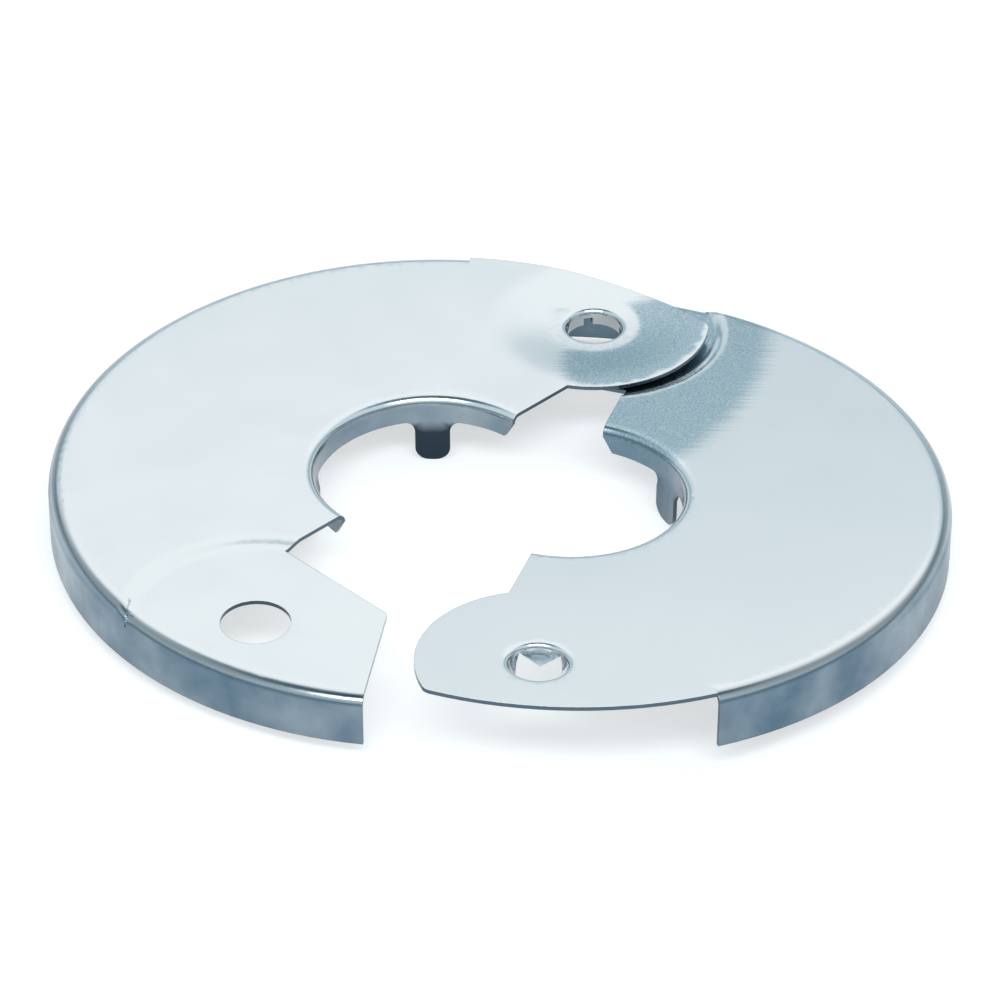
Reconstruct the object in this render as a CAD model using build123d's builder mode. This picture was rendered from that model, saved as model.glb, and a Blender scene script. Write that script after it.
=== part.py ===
"""Split hinged pipe rosette: two stamped half plates joined by an eyelet.

The frame is the left half's own: the origin lies on the pipe's axis in the plane of the wall, +Z points out
of the wall, +X runs along the split line towards the hinge, and the left half lies on the side of +Y.
Each half is one sheet: skirt, rim bend, plate, collar, two spring fingers, a lowered landing at one end
and a raised tongue at the other. The left tongue is clinched to the right landing and is the hinge.
The right tongue carries prongs that snap into the left landing's hole.
All lengths are in millimetres and all angles in degrees.
"""

import os
from math import atan, cos, degrees, hypot, radians, sin, tan

from build123d import *

# Plate
outer_diameter = 73.0
height = 5.6
sheet = 0.4
rim_bend = 1.4

# Collar round the pipe
collar_bore = 22.2
collar_bend = 1.0
collar_depth = 2.7
collar_trim = 1.0

# Split line, and the joint at each of its ends
split_gap = 0.3
pivot_inset = 7.5
pivot_angle = 12.0

# Tongue
lobe_radius = 11.3
tongue_inset = 0.5
tongue_corner = 1.2

# Landing under the other half's tongue
landing_margin = 0.8
landing_clearance = 0.05
landing_width = 9.5
landing_end_angle = 36.0
landing_corner = 0.8
landing_hole = 6.6
skirt_gap = 2.2

# Eyelet of the left tongue
pivot_clearance = 0.3
pierced_wall = 0.3
pierced_bend = 0.6
dish_radius = 5.5
dish_depth = 0.45
lip_width = 1.3
lip_slot = 0.9

# Prongs of the right tongue
prong_depth = 1.8
prong_lean = 0.8
prong_tip = 0.5
prong_count = 4
prong_clearance = 0.2

# Spring fingers
finger_angle = 45.0
finger_width = 3.4
finger_length = 4.3
finger_inset = 0.3
finger_joggle = 1.1
finger_tip_radius = 1.5
finger_root_radius = 1.0

# Pose of the right half: swung open, and lifted at its free end by the play of the loose eyelet
open_angle = 27.5
lift_direction = 197.0
running_gap = 0.06

# Radii and levels of the sheet
outer_radius = outer_diameter / 2
bore_radius = collar_bore / 2
rim_start = outer_radius - rim_bend
pivot_radius = outer_radius - pivot_inset
collar_bottom = height - collar_depth
tongue_radius = outer_radius - tongue_inset
landing_level = height - sheet - landing_clearance
landing_radius = lobe_radius + landing_margin
hole_radius = landing_hole / 2
pierced_outer = hole_radius - pivot_clearance
pierced_inner = pierced_outer - pierced_wall
bend_start = pierced_inner + pierced_bend
split_edge = split_gap / 2
plan_reach = 2 * outer_diameter

# Centre of the tongue's hole; the landing's hole lies half a turn away
hole_x = pivot_radius * cos(radians(pivot_angle))
hole_y = pivot_radius * sin(radians(pivot_angle))
landing_edge = hole_x - landing_width

# The skirt starts clear of the other half's landing, whose end lies under the tongue
skirt_start = landing_end_angle + degrees(skirt_gap / outer_radius)
landing_end_x = rim_start * cos(radians(landing_end_angle))
landing_end_y = rim_start * sin(radians(landing_end_angle))
landing_reach = hypot(landing_end_x - hole_x, landing_end_y - hole_y)

# The lift carries the prongs over the left landing, and the eyelet's play makes room for it
snap_span = 2 * pivot_radius * cos(radians(lift_direction - 180 - pivot_angle))
lift_needed = prong_depth + prong_clearance + running_gap
lift_slope = lift_needed / (snap_span - landing_reach)
lift_angle = degrees(atan(lift_slope))
right_sink = landing_reach * lift_slope + running_gap - landing_clearance
landing_middle = landing_level - sheet / 2
lip_radius = pierced_outer + lip_width
lip_top = landing_level - sheet - right_sink - lip_radius * lift_slope - running_gap
prong_end = height - sheet - prong_depth


def plate_section():
    """Draw the sheet's section from the collar's lower edge, over the plate, to the skirt's lower edge."""
    turn = bore_radius + collar_bend
    with BuildSketch(Plane.XZ) as section:
        with BuildLine():
            Line((bore_radius, collar_bottom), (bore_radius, height - collar_bend))
            RadiusArc((bore_radius, height - collar_bend), (turn, height), collar_bend)
            Line((turn, height), (rim_start, height))
            RadiusArc((rim_start, height), (outer_radius, height - rim_bend), rim_bend)
            Polyline(
                (outer_radius, height - rim_bend),
                (outer_radius, 0),
                (outer_radius - sheet, 0),
                (outer_radius - sheet, height - rim_bend),
            )
            RadiusArc(
                (outer_radius - sheet, height - rim_bend),
                (rim_start, height - sheet),
                sheet - rim_bend,
            )
            Line((rim_start, height - sheet), (turn, height - sheet))
            RadiusArc(
                (turn, height - sheet),
                (bore_radius + sheet, height - collar_bend),
                sheet - collar_bend,
            )
            Polyline(
                (bore_radius + sheet, height - collar_bend),
                (bore_radius + sheet, collar_bottom),
                (bore_radius, collar_bottom),
            )
        make_face()
    return section.sketch


def cap_section(level, radius, bend):
    """Draw half the section of a disc with a bent rim, filled down to the wall's plane."""
    with BuildSketch(Plane.XZ) as section:
        with BuildLine():
            Polyline((radius, level - bend), (radius, 0), (0, 0), (0, level), (radius - bend, level))
            RadiusArc((radius - bend, level), (radius, level - bend), bend)
        make_face()
    return section.sketch


def lowered_plate(top_level):
    """Build a whole disc of sheet from the landing's underside up to top_level."""
    with BuildPart() as shell:
        add(cap_section(top_level, outer_radius, rim_bend))
        revolve(axis=Axis.Z)
        add(cap_section(landing_level - sheet, outer_radius - sheet, rim_bend - sheet))
        revolve(axis=Axis.Z, mode=Mode.SUBTRACT)
    return shell.part


def beyond_split():
    """Draw everything on the other half's side of this half's split edge."""
    with BuildSketch() as side:
        with Locations((0, split_edge - plan_reach / 2)):
            Rectangle(plan_reach, plan_reach)
    return side.sketch


def tongue_stretch(inner, outer):
    """Draw the band between two radii along the tongue's outer edge, from the split line to the skirt."""
    with BuildSketch() as band:
        with BuildLine():
            CenterArc((0, 0), outer, 0, skirt_start)
            CenterArc((0, 0), inner, 0, skirt_start)
            Line((inner, 0), (outer, 0))
            Line(
                (inner * cos(radians(skirt_start)), inner * sin(radians(skirt_start))),
                (outer * cos(radians(skirt_start)), outer * sin(radians(skirt_start))),
            )
        make_face()
    return band.sketch


def tongue_outline():
    """Draw the tongue: a round lobe over the other half's landing, trimmed to the tongue's outer edge."""
    with BuildSketch() as outline:
        with Locations((hole_x, hole_y)):
            Circle(lobe_radius)
        Circle(tongue_radius, mode=Mode.INTERSECT)
        add(tongue_stretch(rim_start - rim_bend, tongue_radius))
        corner = outline.vertices().sort_by(Axis.Y)[0]
        fillet(corner, tongue_corner)
    return outline.sketch


def landing_outline():
    """Draw the lowered landing: a disc inside the step, and the tab that runs on past the split line."""
    end_slope = tan(radians(landing_end_angle))
    with BuildSketch() as outline:
        with Locations((-hole_x, -hole_y)):
            Circle(landing_radius + sheet / 2)
        add(beyond_split(), mode=Mode.SUBTRACT)
        with BuildLine():
            Polyline(
                (-landing_edge, split_edge),
                (-landing_edge, -landing_edge * end_slope),
                (-plan_reach, -plan_reach * end_slope),
                (-plan_reach, split_edge),
                close=True,
            )
        make_face()
        tip = outline.vertices().sort_by_distance((-landing_edge, -landing_edge * end_slope))[0]
        fillet(tip, landing_corner)
    return outline.sketch


def step_outline():
    """Draw the band of sheet that steps down from the plate to the landing."""
    with BuildSketch() as outline:
        with Locations((-hole_x, -hole_y)):
            Circle(landing_radius + sheet)
            Circle(landing_radius, mode=Mode.SUBTRACT)
        add(beyond_split(), mode=Mode.SUBTRACT)
    return outline.sketch


def landing():
    """Build the lowered sheet of the landing, with its own rim and skirt."""
    with BuildPart() as lowered:
        add(lowered_plate(landing_level))
        add(landing_outline())
        extrude(amount=height, mode=Mode.INTERSECT)
    return lowered.part


def step_wall():
    """Build the short wall between the plate's level and the landing's."""
    with BuildPart() as wall:
        add(lowered_plate(height))
        add(step_outline())
        extrude(amount=height, mode=Mode.INTERSECT)
    return wall.part


def finger_section():
    """Draw the finger's section: joggled in from the collar's wall, then straight down beside the pipe."""
    wall = bore_radius + sheet
    straight_top = collar_bottom - finger_joggle
    tip = collar_bottom - finger_length
    with BuildSketch(Plane.XZ) as section:
        with BuildLine():
            Polyline(
                (bore_radius, collar_bottom + sheet),
                (bore_radius, collar_bottom),
                (bore_radius - finger_inset, straight_top),
                (bore_radius - finger_inset, tip),
                (wall - finger_inset, tip),
                (wall - finger_inset, straight_top),
                (wall, collar_bottom),
                (wall, collar_bottom + sheet),
                close=True,
            )
        make_face()
    return section.sketch


def finger_outline():
    """Draw the finger as seen from the pipe's axis, with flared roots and a round tip."""
    half = finger_width / 2
    flare = half + finger_root_radius
    root = collar_bottom - finger_root_radius
    tip = collar_bottom - finger_length
    with BuildSketch(Plane.YZ) as outline:
        with BuildLine():
            Polyline((-half, root), (-half, tip), (half, tip), (half, root))
            RadiusArc((half, root), (flare, collar_bottom), finger_root_radius)
            Polyline(
                (flare, collar_bottom),
                (flare, collar_bottom + sheet),
                (-flare, collar_bottom + sheet),
                (-flare, collar_bottom),
            )
            RadiusArc((-flare, collar_bottom), (-half, root), finger_root_radius)
        make_face()
        fillet(outline.vertices().group_by(Axis.Y)[0], finger_tip_radius)
    return outline.sketch


def finger():
    """Build one spring finger on +X: the bent strip, trimmed to its outline."""
    with BuildPart() as strip:
        add(finger_section())
        revolve(axis=Axis.Z)
        extrude(finger_outline(), amount=outer_radius, mode=Mode.INTERSECT)
    return strip.part


def collar_end():
    """Build the wedge that trims the collar's ends back from the split line, more the lower they reach."""
    with BuildSketch(Plane.YZ) as side:
        with BuildLine():
            Polyline(
                (0, height - collar_bend),
                (split_edge, height - collar_bend),
                (split_edge + collar_trim, collar_bottom),
                (0, collar_bottom),
                close=True,
            )
        make_face()
    with BuildPart() as wedge:
        extrude(side.sketch, amount=bore_radius + collar_bend, both=True)
    return wedge.part


def stamping(tongue_hole):
    """Build the half plate that both halves share, with tongue_hole as the radius of its tongue's hole."""
    with BuildPart() as half:
        add(plate_section())
        revolve(axis=Axis.Z, revolution_arc=180)
        add(beyond_split())
        extrude(amount=height, mode=Mode.SUBTRACT)
        add(tongue_stretch(rim_start, plan_reach))
        extrude(amount=height, mode=Mode.SUBTRACT)
        with Locations((-hole_x, -hole_y)):
            Cylinder(
                landing_radius + sheet / 2,
                height,
                align=(Align.CENTER, Align.CENTER, Align.MIN),
                mode=Mode.SUBTRACT,
            )
        add(landing())
        add(step_wall())
        with BuildSketch(Plane.XY.offset(height - sheet)):
            add(tongue_outline())
        extrude(amount=sheet)
        with Locations((-hole_x, -hole_y, height)):
            Hole(hole_radius)
        with Locations((hole_x, hole_y, height)):
            Hole(tongue_hole)
        add(collar_end(), mode=Mode.SUBTRACT)
        with Locations(Rot(0, 0, finger_angle), Rot(0, 0, 180 - finger_angle)):
            add(finger())
    return half.part


def eyelet_section():
    """Draw the eyelet's section: a dish in the tongue, a bend, a drawn tube and its lip turned outwards."""
    brim = height - dish_depth
    edge = dish_radius + sheet
    lip_bottom = lip_top - pierced_wall
    with BuildSketch(Plane.XZ) as section:
        with BuildLine():
            Line((edge, height), (dish_radius, height))
            TangentArc((dish_radius, height), (bend_start, brim), tangent=(-1, 0))
            RadiusArc((bend_start, brim), (pierced_inner, brim - pierced_bend), -pierced_bend)
            Polyline(
                (pierced_inner, brim - pierced_bend),
                (pierced_inner, lip_bottom),
                (lip_radius, lip_bottom),
                (lip_radius, lip_top),
                (pierced_outer, lip_top),
                (pierced_outer, brim - sheet),
            )
            TangentArc((dish_radius, height - sheet), (pierced_outer, brim - sheet), tangent=(-1, 0))
            Polyline((dish_radius, height - sheet), (edge, height - sheet), (edge, height))
        make_face()
    return section.sketch


def eyelet():
    """Build the clinched eyelet about its own axis, with the lip split in four."""
    with BuildPart() as tube:
        add(eyelet_section())
        revolve(axis=Axis.Z)
        with PolarLocations(0, 2, start_angle=pivot_angle + 45, angular_range=180):
            with Locations((0, 0, lip_top)):
                Box(4 * lip_radius, lip_slot, 3 * pierced_wall, mode=Mode.SUBTRACT)
    return tube.part


def prong_section():
    """Draw the prongs' section: a bend down from the tongue, then a wall that leans in to its tip."""
    edge = bend_start + sheet
    tip_radius = pierced_inner - prong_lean
    with BuildSketch(Plane.XZ) as section:
        with BuildLine():
            Line((edge, height), (bend_start, height))
            RadiusArc((bend_start, height), (pierced_inner, height - pierced_bend), -pierced_bend)
            Polyline(
                (pierced_inner, height - pierced_bend),
                (tip_radius, prong_end),
                (tip_radius + pierced_wall, prong_end),
                (pierced_outer, height - pierced_bend),
                (pierced_outer, height - sheet),
                (edge, height - sheet),
                (edge, height),
            )
        make_face()
    return section.sketch


def prong_gap():
    """Build the wedge that parts two prongs, pointing along +X from the hole's axis."""
    half_width = (pierced_inner - prong_lean) * tan(radians(180 / prong_count)) - prong_tip / 2
    with BuildSketch(Plane.YZ) as face:
        with BuildLine():
            Polyline(
                (0, height - pierced_bend),
                (-half_width, prong_end),
                (half_width, prong_end),
                close=True,
            )
        make_face()
    with BuildPart() as wedge:
        extrude(face.sketch, amount=hole_radius)
    return wedge.part


def prongs():
    """Build the ring of pointed prongs about its own axis, leaning in as they hang from the tongue."""
    with BuildPart() as ring:
        add(prong_section())
        revolve(axis=Axis.Z)
        with PolarLocations(0, prong_count, start_angle=pivot_angle + 180 / prong_count):
            add(prong_gap(), mode=Mode.SUBTRACT)
    return ring.part


with BuildPart() as left_half:
    add(stamping(dish_radius))
    with Locations((hole_x, hole_y)):
        add(eyelet())
left_half.part.label = "left_half"

# The right half is turned half a turn and swung open about the eyelet, then lifted and let down by the play
lift_axis = (sin(radians(lift_direction)), -cos(radians(lift_direction)), 0)
right_place = (
    Pos(hole_x, hole_y, landing_middle - right_sink)
    * Location((0, 0, 0), lift_axis, lift_angle)
    * Rot(0, 0, 180 + open_angle)
    * Pos(hole_x, hole_y, -landing_middle)
)

with BuildPart() as right_half:
    with Locations(right_place):
        add(stamping(bend_start))
    with Locations(right_place * Pos(hole_x, hole_y, 0)):
        add(prongs())
right_half.part.label = "right_half"

os.makedirs("parts", exist_ok=True)
export_step(left_half.part, "parts/left_half.step")
export_step(right_half.part, "parts/right_half.step")
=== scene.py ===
"""Dresses the split hinged pipe rosette: two chrome-plated stampings on a pale studio floor.

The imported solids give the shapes. Each half is copied, ruled into a fine grid and pressed like the real
sheet: its step is eased into a fold, its hinge tongue is drawn down round the eyelet, and the plate gets
the slight waviness and knocks of a thin stamping.
Lengths in the fields are millimetres in the half's own plan, and meshes are in metres in the row's frame.
"""

from __future__ import annotations

import logging
import math
from dataclasses import dataclass, field
from enum import Enum

import bmesh
import bpy
from mathutils import Matrix, Vector, noise

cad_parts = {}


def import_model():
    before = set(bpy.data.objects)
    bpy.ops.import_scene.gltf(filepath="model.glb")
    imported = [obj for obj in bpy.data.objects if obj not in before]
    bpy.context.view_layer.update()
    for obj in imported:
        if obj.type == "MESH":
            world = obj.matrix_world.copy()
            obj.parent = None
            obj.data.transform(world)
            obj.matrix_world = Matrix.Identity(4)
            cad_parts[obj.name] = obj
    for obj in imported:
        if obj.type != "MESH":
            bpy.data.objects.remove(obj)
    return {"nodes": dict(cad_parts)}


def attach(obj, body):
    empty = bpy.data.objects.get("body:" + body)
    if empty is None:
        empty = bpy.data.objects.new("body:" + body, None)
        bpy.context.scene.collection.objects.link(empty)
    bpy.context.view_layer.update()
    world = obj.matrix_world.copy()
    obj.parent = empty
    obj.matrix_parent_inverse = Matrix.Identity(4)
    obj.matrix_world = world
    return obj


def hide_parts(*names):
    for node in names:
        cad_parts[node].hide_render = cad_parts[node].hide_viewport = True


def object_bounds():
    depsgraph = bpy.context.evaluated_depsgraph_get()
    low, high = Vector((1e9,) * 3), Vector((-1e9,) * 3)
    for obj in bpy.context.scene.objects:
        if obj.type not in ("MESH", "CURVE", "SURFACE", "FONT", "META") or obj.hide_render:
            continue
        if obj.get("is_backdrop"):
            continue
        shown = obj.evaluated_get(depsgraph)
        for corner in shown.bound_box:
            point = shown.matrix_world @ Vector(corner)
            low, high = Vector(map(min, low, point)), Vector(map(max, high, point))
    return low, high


LOG = logging.getLogger("rosette")
MM = 0.001
# How far a face's normal points up or down where it counts as upright or as level
UPRIGHT = 0.02
LEVEL = 0.999


def linear(hex_colour: str) -> tuple[float, float, float, float]:
    """Turn an sRGB hex colour into linear light.

    Args:
        hex_colour: six hex digits after a hash.

    Returns:
        Linear red, green, blue and an alpha of 1.
    """
    channels = [int(hex_colour[i : i + 2], 16) / 255 for i in (1, 3, 5)]
    light = [c / 12.92 if c <= 0.04045 else ((c + 0.055) / 1.055) ** 2.4 for c in channels]
    return (*light, 1.0)


def add_node(
    tree: bpy.types.NodeTree,
    kind: str,
    settings: dict[str, object] | None = None,
    inputs: dict[str | int, object] | None = None,
) -> bpy.types.Node:
    """Add a node, set its properties, and fill or link its sockets.

    Args:
        tree: the node tree that gets the node.
        kind: Blender's type name of the node.
        settings: properties of the node by name.
        inputs: socket values by name or index; an output socket is linked instead.

    Returns:
        The new node.
    """
    node = tree.nodes.new(kind)
    for name, value in (settings or {}).items():
        setattr(node, name, value)
    for name, value in (inputs or {}).items():
        if isinstance(value, bpy.types.NodeSocket):
            tree.links.new(value, node.inputs[name])
        else:
            node.inputs[name].default_value = value
    return node


def smoothstep(low: float, high: float, value: float) -> float:
    """Ease from 0 at low to 1 at high.

    Args:
        low: where the ease starts.
        high: where it ends.
        value: where it is read.

    Returns:
        A number from 0 to 1.
    """
    t = min(1.0, max(0.0, (value - low) / (high - low)))
    return t * t * (3 - 2 * t)


class TongueEnd(Enum):
    """What the hole in a half's tongue does."""

    EYELET = "clinched to the other half's landing, and drawn down by it"
    PRONGS = "hung with prongs that snap into the other half's landing"


@dataclass(frozen=True)
class Knock:
    """A shallow round knock in the sheet, in the half's own plan."""

    x: float
    y: float
    width: float
    depth: float

    def sink(self, x: float, y: float) -> float:
        """Give how far the knock lowers a point of the plan."""
        spread = (self.width / 2) ** 2
        return self.depth * math.exp(-((x - self.x) ** 2 + (y - self.y) ** 2) / spread)


class WearAndPaintedShade(Enum):
    """What a mark on the sheet tells the finish: the sheared edges' own colour, and painted dark
    reflections and painted shade, each kept as a value on the mesh.
    """

    # Painted dark reflection on a patch, painted dark reflection on the walls, painted shade on the rim's
    # bend and fingers; the sheared edges keep their own colour
    PAINTED_PATCH_REFLECTION = "painted_patch_reflection"
    PAINTED_WALL_REFLECTION = "painted_wall_reflection"
    THIN = "painted_rim_and_finger_shade"
    SHEARED = "sheared"


@dataclass(frozen=True)
class ReflectionPatch:
    """A patch of painted dark reflection, an ellipse in the half's own plan."""

    x: float
    y: float
    along: float
    across: float
    fade: float

    def share(self, x: float, y: float) -> float:
        """Give how much painted dark reflection a point of the plan gets, from 0 to 1."""
        away = math.hypot((x - self.x) / self.along, (y - self.y) / self.across)
        return 1 - smoothstep(1 - self.fade, 1 + self.fade, away)


@dataclass(frozen=True)
class ChromePlate:
    """Bright chrome plate on stamped cold-rolled steel.

    Thin decorative chrome keeps the rolling lines and orange peel of the sheet below it, so it mirrors
    the studio softly. It has a painted dark reflection on a patch, where it is also duller, a painted dark
    reflection, greyer and mottled, on the skirt and collar walls, where it is also duller, and painted
    shade on the rim's bend and the fingers.
    """

    bright: str = "#C3CACD"
    # Painted dark reflection on a patch, painted dark reflection on the walls, and painted shade on the
    # rim's bend and fingers, in that order
    painted_patch_reflection: str = "#7F99A5"
    painted_wall_reflection: str = "#5A7182"
    painted_rim_and_finger_shade: str = "#2F3B43"
    sheared: str = "#55646F"
    roughness: float = 0.15
    patch_reflection_roughness: float = 0.25
    wall_reflection_roughness: float = 0.32
    peel_size: float = 0.16
    line_width: float = 0.16
    line_length: float = 9.0
    line_depth: float = 4.0
    line_turn: float = -44.7
    smudge_size: float = 7.0
    smudge_range: tuple[float, float] = (0.35, 0.7)
    smudge_spread: tuple[float, float] = (0.8, 1.25)
    streak_pull: float = 0.7
    patch_range: tuple[float, float] = (0.45, 1.15)
    speckle_range: tuple[float, float] = (0.4, 0.68)
    speckle_least: float = 0.5
    mottle_range: tuple[float, float] = (0.35, 0.65)
    mottle_least: float = 0.7
    line_grain: float = 0.3
    grain_strength: float = 0.05
    grain_depth: float = 0.05
    edge_radius: float = 0.12

    def material(self) -> bpy.types.Material:
        """Make the plate's material.

        Returns:
            A node material that reads Object coordinates and the sheet's wear marks.
        """
        made = bpy.data.materials.new("bright_chrome_on_steel")
        made.use_nodes = True
        tree = made.node_tree
        tree.nodes.clear()
        place = add_node(tree, "ShaderNodeTexCoord").outputs["Object"]
        marks = {
            mark: add_node(tree, "ShaderNodeAttribute", {"attribute_name": mark.value}).outputs["Fac"]
            for mark in WearAndPaintedShade
        }

        # Rolling lines of the sheet, drawn coarser than the real ones so that they show
        lines = add_node(
            tree,
            "ShaderNodeMapping",
            {"vector_type": "TEXTURE"},
            {
                "Vector": place,
                "Rotation": (0, 0, math.radians(self.line_turn)),
                "Scale": (self.line_length * MM, self.line_width * MM, self.line_depth * MM),
            },
        )
        streak = add_node(
            tree,
            "ShaderNodeTexNoise",
            {},
            {"Vector": lines.outputs[0], "Scale": 1.0, "Detail": 2.0},
        ).outputs["Fac"]
        peel = add_node(
            tree,
            "ShaderNodeTexNoise",
            {},
            {"Vector": place, "Scale": 1 / (self.peel_size * MM), "Detail": 2.0},
        ).outputs["Fac"]
        smudge = add_node(
            tree,
            "ShaderNodeTexNoise",
            {},
            {"Vector": place, "Scale": 1 / (self.smudge_size * MM), "Detail": 4.0},
        ).outputs["Fac"]

        # The patch of painted dark reflection ends in streaks along the rolling lines, and is speckled by
        # the peel
        ragged = add_node(
            tree,
            "ShaderNodeMath",
            {"operation": "MULTIPLY_ADD"},
            {0: streak, 1: self.streak_pull, 2: marks[WearAndPaintedShade.PAINTED_PATCH_REFLECTION]},
        )
        patch = add_node(
            tree,
            "ShaderNodeMapRange",
            {"interpolation_type": "SMOOTHSTEP"},
            {
                "Value": ragged.outputs[0],
                "From Min": self.patch_range[0],
                "From Max": self.patch_range[1],
            },
        )
        speckle = add_node(
            tree,
            "ShaderNodeMapRange",
            {},
            {
                "Value": peel,
                "From Min": self.speckle_range[0],
                "From Max": self.speckle_range[1],
                "To Min": 1.0,
                "To Max": self.speckle_least,
            },
        )
        painted_patch_reflection = add_node(
            tree,
            "ShaderNodeMath",
            {"operation": "MULTIPLY"},
            {0: patch.outputs[0], 1: speckle.outputs[0]},
        ).outputs[0]

        # Painted dark reflection on the skirt and collar walls, mottled at random
        mottle = add_node(
            tree,
            "ShaderNodeMapRange",
            {},
            {
                "Value": smudge,
                "From Min": self.mottle_range[0],
                "From Max": self.mottle_range[1],
                "To Min": self.mottle_least,
                "To Max": 1.0,
            },
        )
        painted_wall_reflection = add_node(
            tree,
            "ShaderNodeMath",
            {"operation": "MULTIPLY"},
            {0: marks[WearAndPaintedShade.PAINTED_WALL_REFLECTION], 1: mottle.outputs[0]},
        ).outputs[0]

        # The chrome's colour, darkened by the painted dark reflections and painted shade, then by the
        # sheared edges' own colour
        colour: bpy.types.NodeSocket | tuple[float, ...] = linear(self.bright)
        layers = (
            (painted_patch_reflection, self.painted_patch_reflection),
            (painted_wall_reflection, self.painted_wall_reflection),
            (marks[WearAndPaintedShade.THIN], self.painted_rim_and_finger_shade),
            (marks[WearAndPaintedShade.SHEARED], self.sheared),
        )
        for share, shade in layers:
            colour = add_node(
                tree,
                "ShaderNodeMix",
                {"data_type": "RGBA"},
                {0: share, 6: colour, 7: linear(shade)},
            ).outputs[2]
        rough: bpy.types.NodeSocket = add_node(
            tree,
            "ShaderNodeMapRange",
            {},
            {
                "Value": smudge,
                "From Min": self.smudge_range[0],
                "From Max": self.smudge_range[1],
                "To Min": self.roughness * self.smudge_spread[0],
                "To Max": self.roughness * self.smudge_spread[1],
            },
        ).outputs[0]
        for share, dull in ((painted_patch_reflection, self.patch_reflection_roughness), (painted_wall_reflection, self.wall_reflection_roughness)):
            rough = add_node(
                tree,
                "ShaderNodeMix",
                {"data_type": "FLOAT"},
                {0: share, 2: rough, 3: dull},
            ).outputs[0]

        # Relief: sheared edges eased, then the peel and the rolling lines
        eased = add_node(tree, "ShaderNodeBevel", {"samples": 4}, {"Radius": self.edge_radius * MM})
        grain = add_node(
            tree,
            "ShaderNodeMath",
            {"operation": "MULTIPLY_ADD"},
            {0: streak, 1: self.line_grain, 2: peel},
        )
        relief = add_node(
            tree,
            "ShaderNodeBump",
            {},
            {
                "Height": grain.outputs[0],
                "Strength": self.grain_strength,
                "Distance": self.grain_depth * MM,
                "Normal": eased.outputs[0],
            },
        )
        shader = add_node(
            tree,
            "ShaderNodeBsdfPrincipled",
            {},
            {"Base Color": colour, "Metallic": 1.0, "Roughness": rough, "Normal": relief.outputs[0]},
        )
        add_node(tree, "ShaderNodeOutputMaterial", {}, {"Surface": shader.outputs[0]})
        return made


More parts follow.
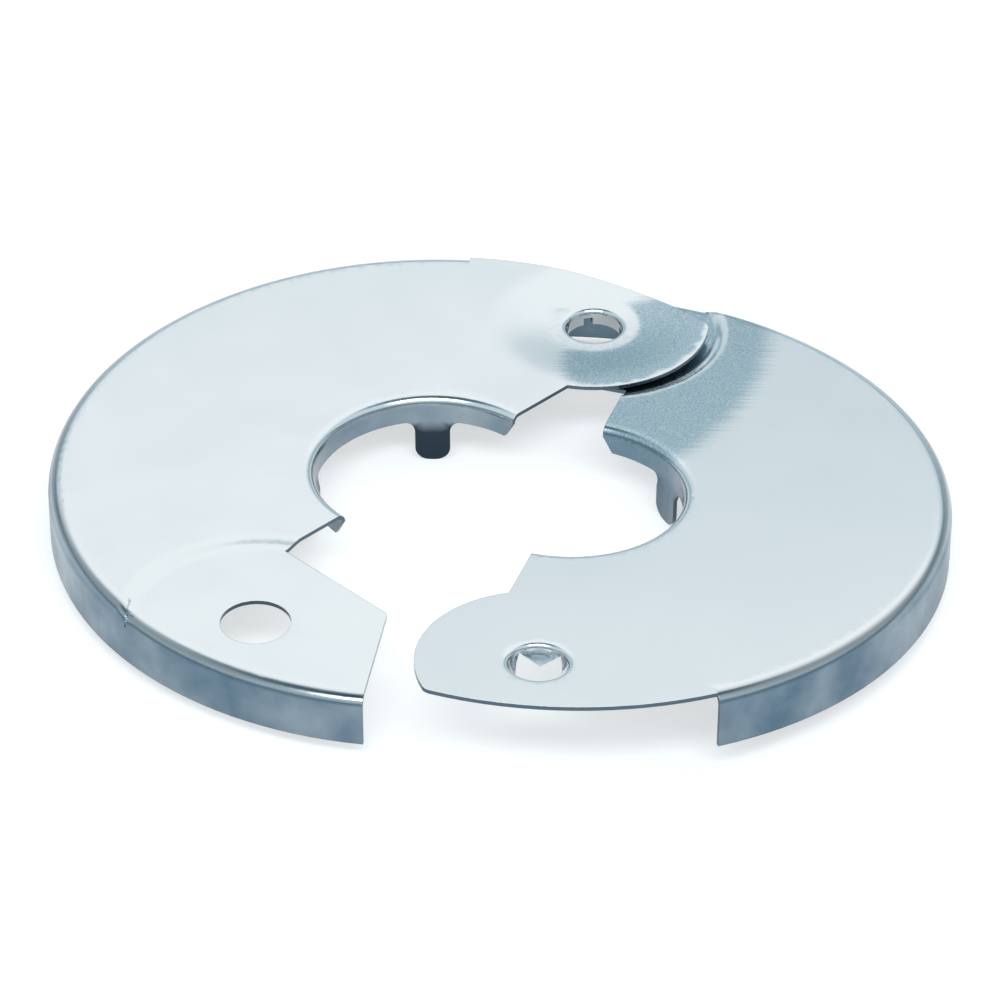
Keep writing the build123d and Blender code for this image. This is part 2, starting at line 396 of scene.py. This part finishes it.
@dataclass
class HalfPlate:
    """One stamped half: skirt, plate, collar, fingers, tongue and landing in one sheet."""

    node: str
    body: str
    end: TongueEnd
    place: Matrix = field(default_factory=Matrix)
    knocks: tuple[Knock, ...] = ()
    reflection_patches: tuple[ReflectionPatch, ...] = ()
    finger_shade: float = 1.0
    seed: float = 0.0
    height: float = 5.6
    sheet: float = 0.4
    hole: tuple[float, float] = (28.366, 6.029)
    lobe_radius: float = 11.3
    eyelet_edge: float = 3.3
    dish_radius: float = 5.5
    dish_depth: float = 0.45
    droop_radius: float = 10.5
    droop_depth: float = 0.45
    step_radius: float = 12.1
    step_depth: float = 0.45
    fold_width: float = 1.7
    skirt_top: float = 3.75
    grid: float = 0.8
    fold_grid: float = 0.3
    wave_size: float = 16.0
    wave_depth: float = 0.02
    outer_radius: float = 36.5
    rim_start: float = 35.1
    rings_per_step: int = 3
    facet: float = 0.01
    bore_radius: float = 11.1
    collar_bottom: float = 2.9
    crease_angle: float = 48.0
    flat_angle: float = 0.2
    step_margin: float = 0.05
    inland: float = 0.3
    strip_share: float = 1.3
    weld: float = 0.002
    rim_ridge: float = 0.2
    skirt_reflection_fall: tuple[float, float] = (0.08, 1.0)
    bend_dark: float = 0.55
    bend_start: tuple[float, float] = (0.02, 0.2)
    bend_end: tuple[float, float] = (0.3, 0.65)
    collar_width: float = 1.0
    collar_dark: float = 0.8
    collar_reflection_fall: tuple[float, float] = (0.3, 1.0)
    finger_fade: float = 0.6
    edge_margin: float = 0.1
    lip_middle: float = 0.5
    lip_fade: tuple[float, float] = (0.3, 1.0)
    lobe_fade: tuple[float, float, float] = (0.7, 0.2, 0.5)
    mouth_fade: tuple[float, float] = (0.6, 0.2)
    press_margin: float = 0.15
    rim_calm: float = 4.0
    bore_calm: tuple[float, float] = (1.0, 4.0)

    def build(self, nodes: dict[str, bpy.types.Object]) -> bpy.types.Object:
        """Copy the node's mesh, rule it and press it.

        Args:
            nodes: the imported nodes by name.

        Returns:
            The new piece, which stands for the node.
        """
        form = bmesh.new()
        form.from_mesh(nodes[self.node].data)
        bmesh.ops.remove_doubles(form, verts=form.verts, dist=self.weld * MM)
        form.transform(self.place.inverted())
        flat = math.radians(self.flat_angle)
        bmesh.ops.dissolve_limit(form, angle_limit=flat, verts=form.verts, edges=form.edges)
        self.mark_creases(form)
        self.mark_sheared(form)
        self.rule(form, self.grid, [*form.faces])
        self.rule(form, self.fold_grid, self.fold_faces(form))
        self.round_rim(form)
        self.mark_painted_shade(form)
        self.fold_step(form)
        self.press(form)
        form.transform(self.place)
        mesh = bpy.data.meshes.new(f"{self.node}_sheet")
        form.to_mesh(mesh)
        form.free()
        piece = bpy.data.objects.new(f"{self.node}_sheet", mesh)
        bpy.context.scene.collection.objects.link(piece)
        piece.modifiers.new("flat_faces", "WEIGHTED_NORMAL").keep_sharp = True
        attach(piece, self.body)
        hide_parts(self.node)
        return piece

    def mark_creases(self, form: bmesh.types.BMesh) -> None:
        """Shade the bends and the step round, and keep the sheared edges sharp.

        Args:
            form: the half in its own plan.
        """
        for face in form.faces:
            face.smooth = True
        for edge in form.edges:
            spots = [self.from_step(v.co) for v in edge.verts]
            on_step = all(-self.step_margin < s < self.sheet + self.step_margin for s in spots)
            inland = all(v.co.y > self.inland * MM for v in edge.verts)
            above = min(v.co.z for v in edge.verts) > self.skirt_top * MM
            bend = edge.calc_face_angle(0.0) < math.radians(self.crease_angle)
            edge.smooth = bend or (on_step and inland and above)

    def mark_sheared(self, form: bmesh.types.BMesh) -> None:
        """Mark the cut edges of the sheet: strips between sharp edges, as wide as the sheet is thick.

        Args:
            form: the half in its own plan.
        """
        layer = form.faces.layers.float.new(WearAndPaintedShade.SHEARED.value)
        waiting = set(form.faces)
        while waiting:
            strip = [waiting.pop()]
            for face in strip:
                across = {f for e in face.edges if e.smooth for f in e.link_faces}
                strip.extend(across & waiting)
                waiting -= across
            area = sum(f.calc_area() for f in strip)
            border = sum(e.calc_length() for f in strip for e in f.edges if not e.smooth)
            if 2 * area < self.strip_share * self.sheet * MM * border:
                for face in strip:
                    face[layer] = 1.0

    def rule(self, form: bmesh.types.BMesh, spacing: float, faces: list[bmesh.types.BMFace]) -> None:
        """Cut some faces of the sheet along a square grid, so that it can bend.

        Args:
            form: the half in its own plan.
            spacing: the grid's spacing.
            faces: the faces to cut.
        """
        for axis in (Vector((1, 0, 0)), Vector((0, 1, 0))):
            reach = [v.co.dot(axis) / MM / spacing for f in faces for v in f.verts]
            parts = {part for f in faces for part in (f, *f.edges, *f.verts)}
            for line in range(math.ceil(min(reach)), math.ceil(max(reach))):
                cut = bmesh.ops.bisect_plane(
                    form,
                    geom=[*parts],
                    dist=self.weld * MM / 10,
                    plane_co=axis * (line * spacing * MM),
                    plane_no=axis,
                )
                parts = set(cut["geom"])
            faces = [part for part in parts if isinstance(part, bmesh.types.BMFace)]

    def round_rim(self, form: bmesh.types.BMesh) -> None:
        """Cut the rim's bend into level rings, and bring the cuts out to the true arc.

        The rings are a whole share of the step apart, so that they meet where the plate folds down.

        Args:
            form: the half in its own plan.
        """
        turn = self.outer_radius - self.rim_start
        up = Vector((0, 0, 1))
        spacing = self.step_depth / self.rings_per_step
        for ring in range(1, math.ceil((turn + self.step_depth) / spacing)):
            level = self.height - spacing * ring
            sloped = [f for f in form.faces if self.is_sloped(f)]
            rim = [f for f in sloped if math.hypot(*f.calc_center_median().xy) > self.rim_start * MM]
            parts = {part for f in rim for part in (f, *f.edges, *f.verts)}
            bmesh.ops.bisect_plane(
                form,
                geom=[*parts],
                dist=self.weld * MM / 10,
                plane_co=up * (level * MM),
                plane_no=up,
            )
        form.normal_update()
        for vert in [v for v in form.verts if any(self.is_sloped(f) for f in v.link_faces)]:
            radius = math.hypot(vert.co.x, vert.co.y)
            centre = self.height - turn - (0 if self.is_upper(vert.co) else self.step_depth)
            run, rise = radius / MM - self.rim_start, vert.co.z / MM - centre
            reach = math.hypot(run, rise)
            arcs = [arc for arc in (turn, turn - self.sheet) if abs(reach - arc) < self.sheet / 5]
            if run <= 0 or rise <= 0 or not arcs:
                continue
            scale = (arcs[0] - self.facet * min(1.0, run / self.sheet)) / reach
            true_radius = (self.rim_start + run * scale) * MM
            vert.co.x *= true_radius / radius
            vert.co.y *= true_radius / radius
            vert.co.z = (centre + rise * scale) * MM

    @staticmethod
    def is_sloped(face: bmesh.types.BMFace) -> bool:
        """Tell a face of a bend from one of the flat plate or an upright wall."""
        return UPRIGHT < abs(face.normal.z) < LEVEL

    def from_step(self, point: Vector) -> float:
        """Give a point's distance in plan from the step round the landing, in millimetres."""
        x, y = point.x / MM + self.hole[0], point.y / MM + self.hole[1]
        return math.hypot(x, y) - self.step_radius

    def fold_faces(self, form: bmesh.types.BMesh) -> list[bmesh.types.BMFace]:
        """List the faces that the step's fold bends.

        Args:
            form: the half in its own plan.

        Returns:
            Faces of the plate, the landing and the rim bend near the step.
        """
        floor = self.skirt_top * MM
        return [
            f
            for f in form.faces
            if abs(self.from_step(f.calc_center_median())) < self.fold_width / 2 + self.grid
            and all(v.co.z > floor - self.weld * MM for v in f.verts)
            and f.calc_center_median().y > -self.grid * MM
        ]

    def fold_step(self, form: bmesh.types.BMesh) -> None:
        """Ease the upright step between plate and landing into a fold, with a low ridge left on the rim.

        Args:
            form: the half in its own plan.
        """
        closed = []
        half_width = self.fold_width / 2
        lowest = (self.skirt_top - self.weld) * MM
        for vert in form.verts:
            away = self.from_step(vert.co) - self.sheet / 2
            if vert.co.y < 0 or abs(away) > half_width or vert.co.z < lowest:
                continue
            share = smoothstep(-half_width, half_width, away)
            lift = share - 1 if self.is_upper(vert.co) else share
            if math.hypot(vert.co.x, vert.co.y) > (self.rim_start - self.sheet) * MM:
                lift *= 1 - self.rim_ridge
            else:
                closed.append(vert)
            vert.co.z += lift * self.step_depth * MM
        bmesh.ops.remove_doubles(form, verts=closed, dist=self.weld * MM)

    def is_upper(self, point: Vector) -> bool:
        """Tell a point of the plate from one of the lowered landing, on the sheet's outside or inside.

        Args:
            point: a vertex near the step, before the fold.

        Returns:
            True for the plate.
        """
        run = max(0.0, math.hypot(point.x, point.y) / MM - self.rim_start)
        turn = self.outer_radius - self.rim_start
        misses = {}
        for upper in (True, False):
            centre = self.height - turn - (0 if upper else self.step_depth)
            rise = point.z / MM - centre
            reach = math.hypot(run, max(0.0, rise))
            for arc in (turn, turn - self.sheet):
                misses[abs(reach - arc) + max(0.0, -rise)] = upper
        return misses[min(misses)]

    def mark_painted_shade(self, form: bmesh.types.BMesh) -> None:
        """Mark where the painted dark reflections and painted shade go: a patch, the skirt and collar
        walls, the rim's bend and the fingers.

        Args:
            form: the half in its own plan.
        """
        on_verts = (WearAndPaintedShade.PAINTED_PATCH_REFLECTION, WearAndPaintedShade.PAINTED_WALL_REFLECTION, WearAndPaintedShade.THIN)
        layers = {mark: form.verts.layers.float.new(mark.value) for mark in on_verts}
        for vert in form.verts:
            x, y, z = vert.co / MM
            radius = math.hypot(x, y)
            # Painted dark reflection on the patch, left out where painted highlights run along the step's
            # lip, the lobe's edge and the eyelet's mouth
            painted_patch_reflection = max((r.share(x, y) for r in self.reflection_patches), default=0.0)
            vert[layers[WearAndPaintedShade.PAINTED_PATCH_REFLECTION]] = painted_patch_reflection * (1 - self.painted_highlight_share(vert.co))
            from_hole = math.hypot(x - self.hole[0], y - self.hole[1])
            on_tongue = from_hole < self.lobe_radius + self.step_margin
            # Painted dark reflection down the skirt, and painted shade on the rim's bend
            if radius > self.rim_start and not on_tongue:
                fall = self.height - z - (0 if self.is_upper(vert.co) else self.step_depth)
                vert[layers[WearAndPaintedShade.PAINTED_WALL_REFLECTION]] = smoothstep(*self.skirt_reflection_fall, fall)
                bend = smoothstep(*self.bend_start, fall) * (1 - smoothstep(*self.bend_end, fall))
                vert[layers[WearAndPaintedShade.THIN]] = self.bend_dark * bend
            # Painted dark reflection down the collar's wall
            if radius < self.bore_radius + self.collar_width:
                vert[layers[WearAndPaintedShade.PAINTED_WALL_REFLECTION]] = self.collar_dark * smoothstep(*self.collar_reflection_fall, self.height - z)
            # Painted shade on the fingers, below the collar
            if radius < self.bore_radius + self.sheet + self.edge_margin:
                finger_shade_share = 1 - smoothstep(self.collar_bottom - self.finger_fade, self.collar_bottom, z)
                vert[layers[WearAndPaintedShade.THIN]] = self.finger_shade * finger_shade_share

    def painted_highlight_share(self, point: Vector) -> float:
        """Give where a painted highlight cuts into the painted dark reflection: the step's lip, the lobe's
        edge or the eyelet's mouth.

        Args:
            point: a vertex in the half's own plan.

        Returns:
            A number from 0 to 1.
        """
        away = math.hypot(point.x / MM - self.hole[0], point.y / MM - self.hole[1])
        lip = 1 - smoothstep(*self.lip_fade, abs(self.from_step(point) - self.lip_middle))
        start, full, end = self.lobe_fade
        edge = smoothstep(self.lobe_radius - start, self.lobe_radius - full, away)
        edge *= 1 - smoothstep(self.lobe_radius, self.lobe_radius + end, away)
        out, back = self.mouth_fade
        mouth = 1 - smoothstep(self.eyelet_edge + out, self.dish_radius - back, away)
        return max(lip, edge, mouth)

    def press(self, form: bmesh.types.BMesh) -> None:
        """Bend the sheet: waviness, knocks, and the droop round a clinched eyelet.

        Args:
            form: the half in its own plan.
        """
        lowest = (self.height - self.sheet - self.dish_depth - self.press_margin) * MM
        calm_start, calm_end = (self.bore_radius + calm for calm in self.bore_calm)
        for vert in form.verts:
            if vert.co.z < lowest:
                continue
            x, y = vert.co.x / MM, vert.co.y / MM
            radius = math.hypot(x, y)
            inside = 1 - smoothstep(self.rim_start - self.rim_calm, self.rim_start, radius)
            inside *= smoothstep(calm_start, calm_end, radius)
            spot = Vector((x / self.wave_size, y / self.wave_size, self.seed))
            sink = inside * self.wave_depth * noise.noise(spot)
            sink += sum(k.sink(x, y) for k in self.knocks)
            if self.end is TongueEnd.EYELET:
                sink += self.droop(math.hypot(x - self.hole[0], y - self.hole[1]))
            vert.co.z -= sink * MM

    def droop(self, away: float) -> float:
        """Give how far the clinch draws the tongue down beyond its dish.

        Args:
            away: distance from the eyelet's axis in plan.

        Returns:
            The extra fall of the sheet, in millimetres.
        """
        whole = self.droop_depth * (1 - smoothstep(self.eyelet_edge, self.droop_radius, away))
        run = self.dish_radius - self.eyelet_edge
        rise = min(1.0, max(0.0, (self.dish_radius - away) / run))
        return max(0.0, whole - self.dish_depth * rise * rise)

    def dress(self, piece: bpy.types.Object, finish: bpy.types.Material) -> None:
        """Give the piece its finish.

        Args:
            piece: the pressed half.
            finish: its material.
        """
        piece.data.materials.append(finish)


@dataclass(frozen=True)
class PhotoCamera:
    """The camera at the photograph's place."""

    eye: tuple[float, float, float] = (-322.4, -337.7, 338.1)
    aim: tuple[float, float, float] = (6.08, -3.24, 0.0)
    roll: float = -0.4
    lens: float = 216.2
    sensor: float = 36.0
    clip: tuple[float, float] = (0.01, 20.0)

    def build(self) -> bpy.types.Object:
        """Make the camera and use it.

        Returns:
            The scene's camera.
        """
        data = bpy.data.cameras.new("photo_camera")
        data.lens = self.lens
        data.sensor_width = self.sensor
        data.clip_start, data.clip_end = self.clip
        camera = bpy.data.objects.new("photo_camera", data)
        eye, aim = Vector(self.eye) * MM, Vector(self.aim) * MM
        turn = (aim - eye).to_track_quat("-Z", "Y").to_matrix().to_4x4()
        roll = Matrix.Rotation(math.radians(self.roll), 4, "Z")
        camera.matrix_world = Matrix.Translation(eye) @ turn @ roll
        bpy.context.scene.collection.objects.link(camera)
        bpy.context.scene.camera = camera
        return camera


@dataclass(frozen=True)
class Studio:
    """A white floor, a soft box beyond the object, dimmer panels all round, and a lamp over the camera."""

    floor: str = "#B7BABB"
    floor_glow: float = 0.56
    light: str = "#FFFFFF"
    dusk: str = "#98B3BE"
    room: str = "#4C606B"
    strength: float = 1.48
    box_rise: float = 55.0
    box_right: float = 0.1
    box_turn: float = -44.7
    box_stretch: float = 1.7
    box_edge: float = 34.0
    box_full: float = 19.5
    glow_top: float = 13.0
    glow_full: float = 3.0
    glow_share: float = 0.7
    glow_lift: float = 0.15
    far_share: float = 0.42
    far_full: float = 0.6
    ring_share: float = 0.74
    ring_low: tuple[float, float] = (14.0, 26.0)
    ring_high: tuple[float, float] = (52.0, 74.0)
    floor_size: float = 3.0
    lamp_size: tuple[float, float] = (0.8, 0.25)
    lamp_power: float = 4.7
    lamp_place: tuple[float, float, float] = (-0.33, -0.35, 0.76)

    def build(self, low: Vector) -> None:
        """Lay the floor, hang the lamp and paint the world.

        Args:
            low: lowest corner of the object.
        """
        form = bmesh.new()
        bmesh.ops.create_grid(form, x_segments=1, y_segments=1, size=self.floor_size / 2)
        bmesh.ops.translate(form, verts=form.verts, vec=(0, 0, low.z))
        mesh = bpy.data.meshes.new("floor")
        form.to_mesh(mesh)
        form.free()
        floor = bpy.data.objects.new("floor", mesh)
        bpy.context.scene.collection.objects.link(floor)
        mesh.materials.append(self.paper())
        floor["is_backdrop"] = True

        data = bpy.data.lights.new("overhead", "AREA")
        data.shape = "RECTANGLE"
        data.size, data.size_y = self.lamp_size
        data.energy = self.lamp_power
        lamp = bpy.data.objects.new("overhead", data)
        lamp.location = self.lamp_place
        lamp.rotation_euler = (-lamp.location).to_track_quat("-Z", "Y").to_euler()
        bpy.context.scene.collection.objects.link(lamp)
        self.world()

    def paper(self) -> bpy.types.Material:
        """Make the floor's matt paper, which is white to the eye and in mirrors, and keeps a soft shadow.

        Returns:
            The floor's material.
        """
        made = bpy.data.materials.new("studio_paper")
        made.use_nodes = True
        tree = made.node_tree
        tree.nodes.clear()
        path = add_node(tree, "ShaderNodeLightPath").outputs
        seen = path["Is Camera Ray"]
        for ray in ("Is Glossy Ray", "Is Transmission Ray"):
            either = add_node(tree, "ShaderNodeMath", {"operation": "MAXIMUM"}, {0: seen, 1: path[ray]})
            seen = either.outputs[0]
        glow = add_node(tree, "ShaderNodeMath", {"operation": "MULTIPLY"}, {0: seen, 1: self.floor_glow})
        shader = add_node(
            tree,
            "ShaderNodeBsdfPrincipled",
            {},
            {
                "Base Color": linear(self.floor),
                "Roughness": 1.0,
                "Specular IOR Level": 0.0,
                "Emission Color": linear(self.light),
                "Emission Strength": glow.outputs[0],
            },
        )
        add_node(tree, "ShaderNodeOutputMaterial", {}, {"Surface": shader.outputs[0]})
        return made

    def world(self) -> None:
        """Paint the room: a soft box beyond the object, a pale horizon, and panels all round."""
        world = bpy.data.worlds.new("studio")
        world.use_nodes = True
        tree = world.node_tree
        tree.nodes.clear()
        look = add_node(tree, "ShaderNodeTexCoord").outputs["Generated"]
        narrowed = add_node(
            tree,
            "ShaderNodeMapping",
            {"vector_type": "TEXTURE"},
            {
                "Vector": look,
                "Rotation": (0, 0, math.radians(self.box_turn)),
                "Scale": (self.box_stretch, 1, 1),
            },
        )
        aim = add_node(tree, "ShaderNodeVectorMath", {"operation": "NORMALIZE"}, {0: narrowed.outputs[0]})
        rise = math.radians(self.box_rise)
        facing = add_node(
            tree,
            "ShaderNodeVectorMath",
            {"operation": "DOT_PRODUCT"},
            {0: aim.outputs[0], 1: Vector((self.box_right, math.cos(rise), math.sin(rise))).normalized()},
        )
        in_box = add_node(
            tree,
            "ShaderNodeMapRange",
            {"interpolation_type": "SMOOTHSTEP"},
            {
                "Value": facing.outputs["Value"],
                "From Min": math.cos(math.radians(self.box_edge)),
                "From Max": math.cos(math.radians(self.box_full)),
            },
        )
        # The horizon glows higher on the far side, and the wall below the soft box takes some of its light
        axes = add_node(tree, "ShaderNodeSeparateXYZ", {}, {0: narrowed.outputs[0]}).outputs
        beyond = add_node(
            tree,
            "ShaderNodeMapRange",
            {"interpolation_type": "SMOOTHSTEP"},
            {"Value": axes["Y"], "From Min": 0.0, "From Max": self.far_full},
        ).outputs[0]
        height = add_node(
            tree,
            "ShaderNodeMath",
            {"operation": "MULTIPLY_ADD"},
            {0: beyond, 1: -self.glow_lift, 2: axes["Z"]},
        )
        wall = add_node(tree, "ShaderNodeMath", {"operation": "MULTIPLY"}, {0: beyond, 1: self.far_share})
        glow = add_node(
            tree,
            "ShaderNodeMapRange",
            {"interpolation_type": "SMOOTHSTEP"},
            {
                "Value": height.outputs[0],
                "From Min": math.sin(math.radians(self.glow_full)),
                "From Max": math.sin(math.radians(self.glow_top)),
                "To Min": self.glow_share,
                "To Max": 0.0,
            },
        )
        # Dimmer panels stand all round the table
        panels: bpy.types.NodeSocket | float = self.ring_share
        for edges, ends in ((self.ring_low, (0.0, 1.0)), (self.ring_high, (1.0, 0.0))):
            rim = add_node(
                tree,
                "ShaderNodeMapRange",
                {"interpolation_type": "SMOOTHSTEP"},
                {
                    "Value": axes["Z"],
                    "From Min": math.sin(math.radians(edges[0])),
                    "From Max": math.sin(math.radians(edges[1])),
                    "To Min": ends[0],
                    "To Max": ends[1],
                },
            )
            ring = add_node(
                tree,
                "ShaderNodeMath",
                {"operation": "MULTIPLY"},
                {0: panels, 1: rim.outputs[0]},
            )
            panels = ring.outputs[0]
        lit = in_box.outputs[0]
        for other in (glow, wall, ring):
            lit = add_node(
                tree, "ShaderNodeMath", {"operation": "MAXIMUM"}, {0: lit, 1: other.outputs[0]}
            ).outputs[0]
        colour: bpy.types.NodeSocket | tuple[float, ...] = linear(self.room)
        for start, shade in ((0.0, self.dusk), (0.5, self.light)):
            share = add_node(
                tree,
                "ShaderNodeMapRange",
                {},
                {"Value": lit, "From Min": start, "From Max": start + 0.5},
            )
            colour = add_node(
                tree,
                "ShaderNodeMix",
                {"data_type": "RGBA"},
                {0: share.outputs[0], 6: colour, 7: linear(shade)},
            ).outputs[2]
        back = add_node(tree, "ShaderNodeBackground", {}, {"Color": colour, "Strength": self.strength})
        add_node(tree, "ShaderNodeOutputWorld", {}, {"Surface": back.outputs[0]})
        bpy.context.scene.world = world


@dataclass(frozen=True)
class HingePlay:
    """How the right half hangs on the eyelet in the photograph, in millimetres and degrees."""

    opening: float = 27.5
    tilt: float = 2.7315
    tilt_towards: float = 197.0
    hole_level: float = 4.95
    drop: float = 0.7067

    def place(self) -> Matrix:
        """Give the right half's place: half a turn and the opening about the eyelet, then its tilt.

        Returns:
            The matrix from the half's own plan to the row's frame.
        """
        hole_x, hole_y = HalfPlate.hole
        towards = math.radians(self.tilt_towards)
        tilt_axis = Vector((math.sin(towards), -math.cos(towards), 0))
        swing = Matrix.Rotation(math.radians(180 + self.opening), 4, "Z")
        tilt = Matrix.Rotation(math.radians(self.tilt), 4, tilt_axis)
        to_eyelet = Matrix.Translation(Vector((hole_x, hole_y, self.hole_level - self.drop)) * MM)
        to_hole = Matrix.Translation(Vector((hole_x, hole_y, -self.hole_level)) * MM)
        return to_eyelet @ tilt @ swing @ to_hole


def main() -> None:
    """Build the halves, the studio and the camera in order."""
    logging.basicConfig(level=logging.INFO)
    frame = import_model()
    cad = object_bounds()
    scene = bpy.context.scene
    scene.view_settings.view_transform = "Standard"
    chrome = ChromePlate().material()
    halves = (
        HalfPlate(
            node="left_half",
            body="left",
            end=TongueEnd.EYELET,
            knocks=(Knock(28.4, 11.0, 2.2, 0.06), Knock(21.6, 1.4, 2.0, 0.05)),
            # The patch of painted dark reflection on this half
            reflection_patches=(ReflectionPatch(29.5, -2.5, 10.5, 9.0, 0.22),),
            seed=1.7,
        ),
        HalfPlate(
            node="right_half",
            body="right",
            end=TongueEnd.PRONGS,
            place=HingePlay().place(),
            # The patch of painted dark reflection on this half
            reflection_patches=(ReflectionPatch(-24.0, -3.0, 24.0, 14.5, 0.2),),
            fold_width=1.2,
            # Lighter painted shade on this half's fingers
            finger_shade=0.3,
            seed=5.2,
        ),
    )
    for half in halves:
        piece = half.build(frame["nodes"])
        half.dress(piece, chrome)
        LOG.info("%s: %d faces", piece.name, len(piece.data.polygons))
    Studio().build(cad[0])
    PhotoCamera().build()


if __name__ == "__main__":
    main()
